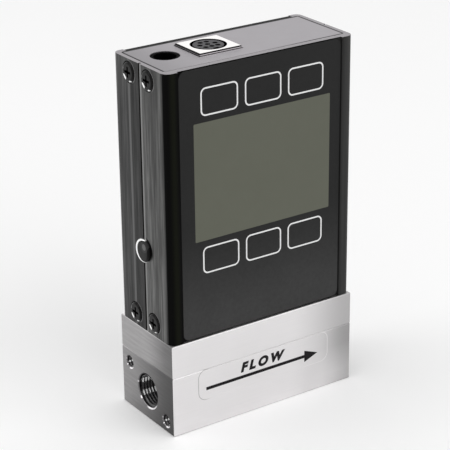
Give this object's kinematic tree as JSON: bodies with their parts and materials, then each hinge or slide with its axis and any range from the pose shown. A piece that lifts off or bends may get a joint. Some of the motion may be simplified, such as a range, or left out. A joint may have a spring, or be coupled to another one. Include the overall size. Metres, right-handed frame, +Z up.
{
  "type": "mass flow meter",
  "caption": "Compact gas mass flow meter: steel flow body with threaded end ports, upright display housing with membrane keypad, and power and signal sockets on top.",
  "frame": {"origin": "centre of the flow body's underside", "axes": "+X along the gas flow from inlet to outlet, the display faces -Y, +Z up"},
  "size_m": [0.0621, 0.0266, 0.1051],
  "materials": {
    "stainless": "machined and brushed",
    "seal_rubber": "smooth",
    "plain_screw": "plain",
    "black_screw": "black oxide",
    "shell_metal": "brushed along its height",
    "plate_metal": "satin",
    "sensor_metal": "machined",
    "connector_metal": "bright nickel",
    "socket_plastic": "moulded black",
    "core_plastic": "moulded grey",
    "contact_metal": "gold flash",
    "keypad_film": "fine satin print",
    "display_glass": "polarised",
    "backlight": "diffuse",
    "foam": "closed cell",
    "circuit_board": "solder mask",
    "spacer_brass": "plain",
    "plug_rubber": "smooth moulded"
  },
  "bodies": {
    "meter": {"flow_body": "stainless", "laminar_element": "stainless", "block_seal_rings": "seal_rubber", "manifold": "stainless", "manifold_screws": "plain_screw", "sensor_seal_rings": "seal_rubber", "sensor_block": "sensor_metal", "gallery_plugs": "contact_metal", "differential_sensor": "socket_plastic", "absolute_sensor": "connector_metal", "temperature_probe": "stainless", "sensor_board": "circuit_board", "sensor_header": "socket_plastic", "front_shell": "shell_metal", "rear_shell": "shell_metal", "shell_screws": "black_screw", "top_plate": "plate_metal", "power_jack": "socket_plastic", "jack_pin": "contact_metal", "mini_din_shell": "connector_metal", "mini_din_core": "core_plastic", "mini_din_contacts": "contact_metal", "side_plug": "plug_rubber", "keypad_film": "keypad_film", "display_gasket": "foam", "display_panel": "display_glass", "display_backlight": "backlight", "display_board": "circuit_board", "display_spacers": "spacer_brass", "display_board_screws": "plain_screw", "main_board": "circuit_board", "main_board_spacers": "spacer_brass", "main_board_screws": "plain_screw", "connector_board": "circuit_board", "connector_header": "socket_plastic", "board_link": "socket_plastic", "main_board_chips": "socket_plastic", "key_switches": "socket_plastic"},
    "key_1": {"key_stem_1": "socket_plastic"},
    "key_2": {"key_stem_2": "socket_plastic"},
    "key_3": {"key_stem_3": "socket_plastic"},
    "key_4": {"key_stem_4": "socket_plastic"},
    "key_5": {"key_stem_5": "socket_plastic"},
    "key_6": {"key_stem_6": "socket_plastic"}
  },
  "joints": [
    {"name": "key_1_press", "type": "slide", "parent": "meter", "child": "key_1", "axis": [0, 1, 0], "range_m": [0, 0.00025], "stiffness_N_per_m": 4000},
    {"name": "key_2_press", "type": "slide", "parent": "meter", "child": "key_2", "axis": [0, 1, 0], "range_m": [0, 0.00025], "stiffness_N_per_m": 4000},
    {"name": "key_3_press", "type": "slide", "parent": "meter", "child": "key_3", "axis": [0, 1, 0], "range_m": [0, 0.00025], "stiffness_N_per_m": 4000},
    {"name": "key_4_press", "type": "slide", "parent": "meter", "child": "key_4", "axis": [0, 1, 0], "range_m": [0, 0.00025], "stiffness_N_per_m": 4000},
    {"name": "key_5_press", "type": "slide", "parent": "meter", "child": "key_5", "axis": [0, 1, 0], "range_m": [0, 0.00025], "stiffness_N_per_m": 4000},
    {"name": "key_6_press", "type": "slide", "parent": "meter", "child": "key_6", "axis": [0, 1, 0], "range_m": [0, 0.00025], "stiffness_N_per_m": 4000}
  ]
}
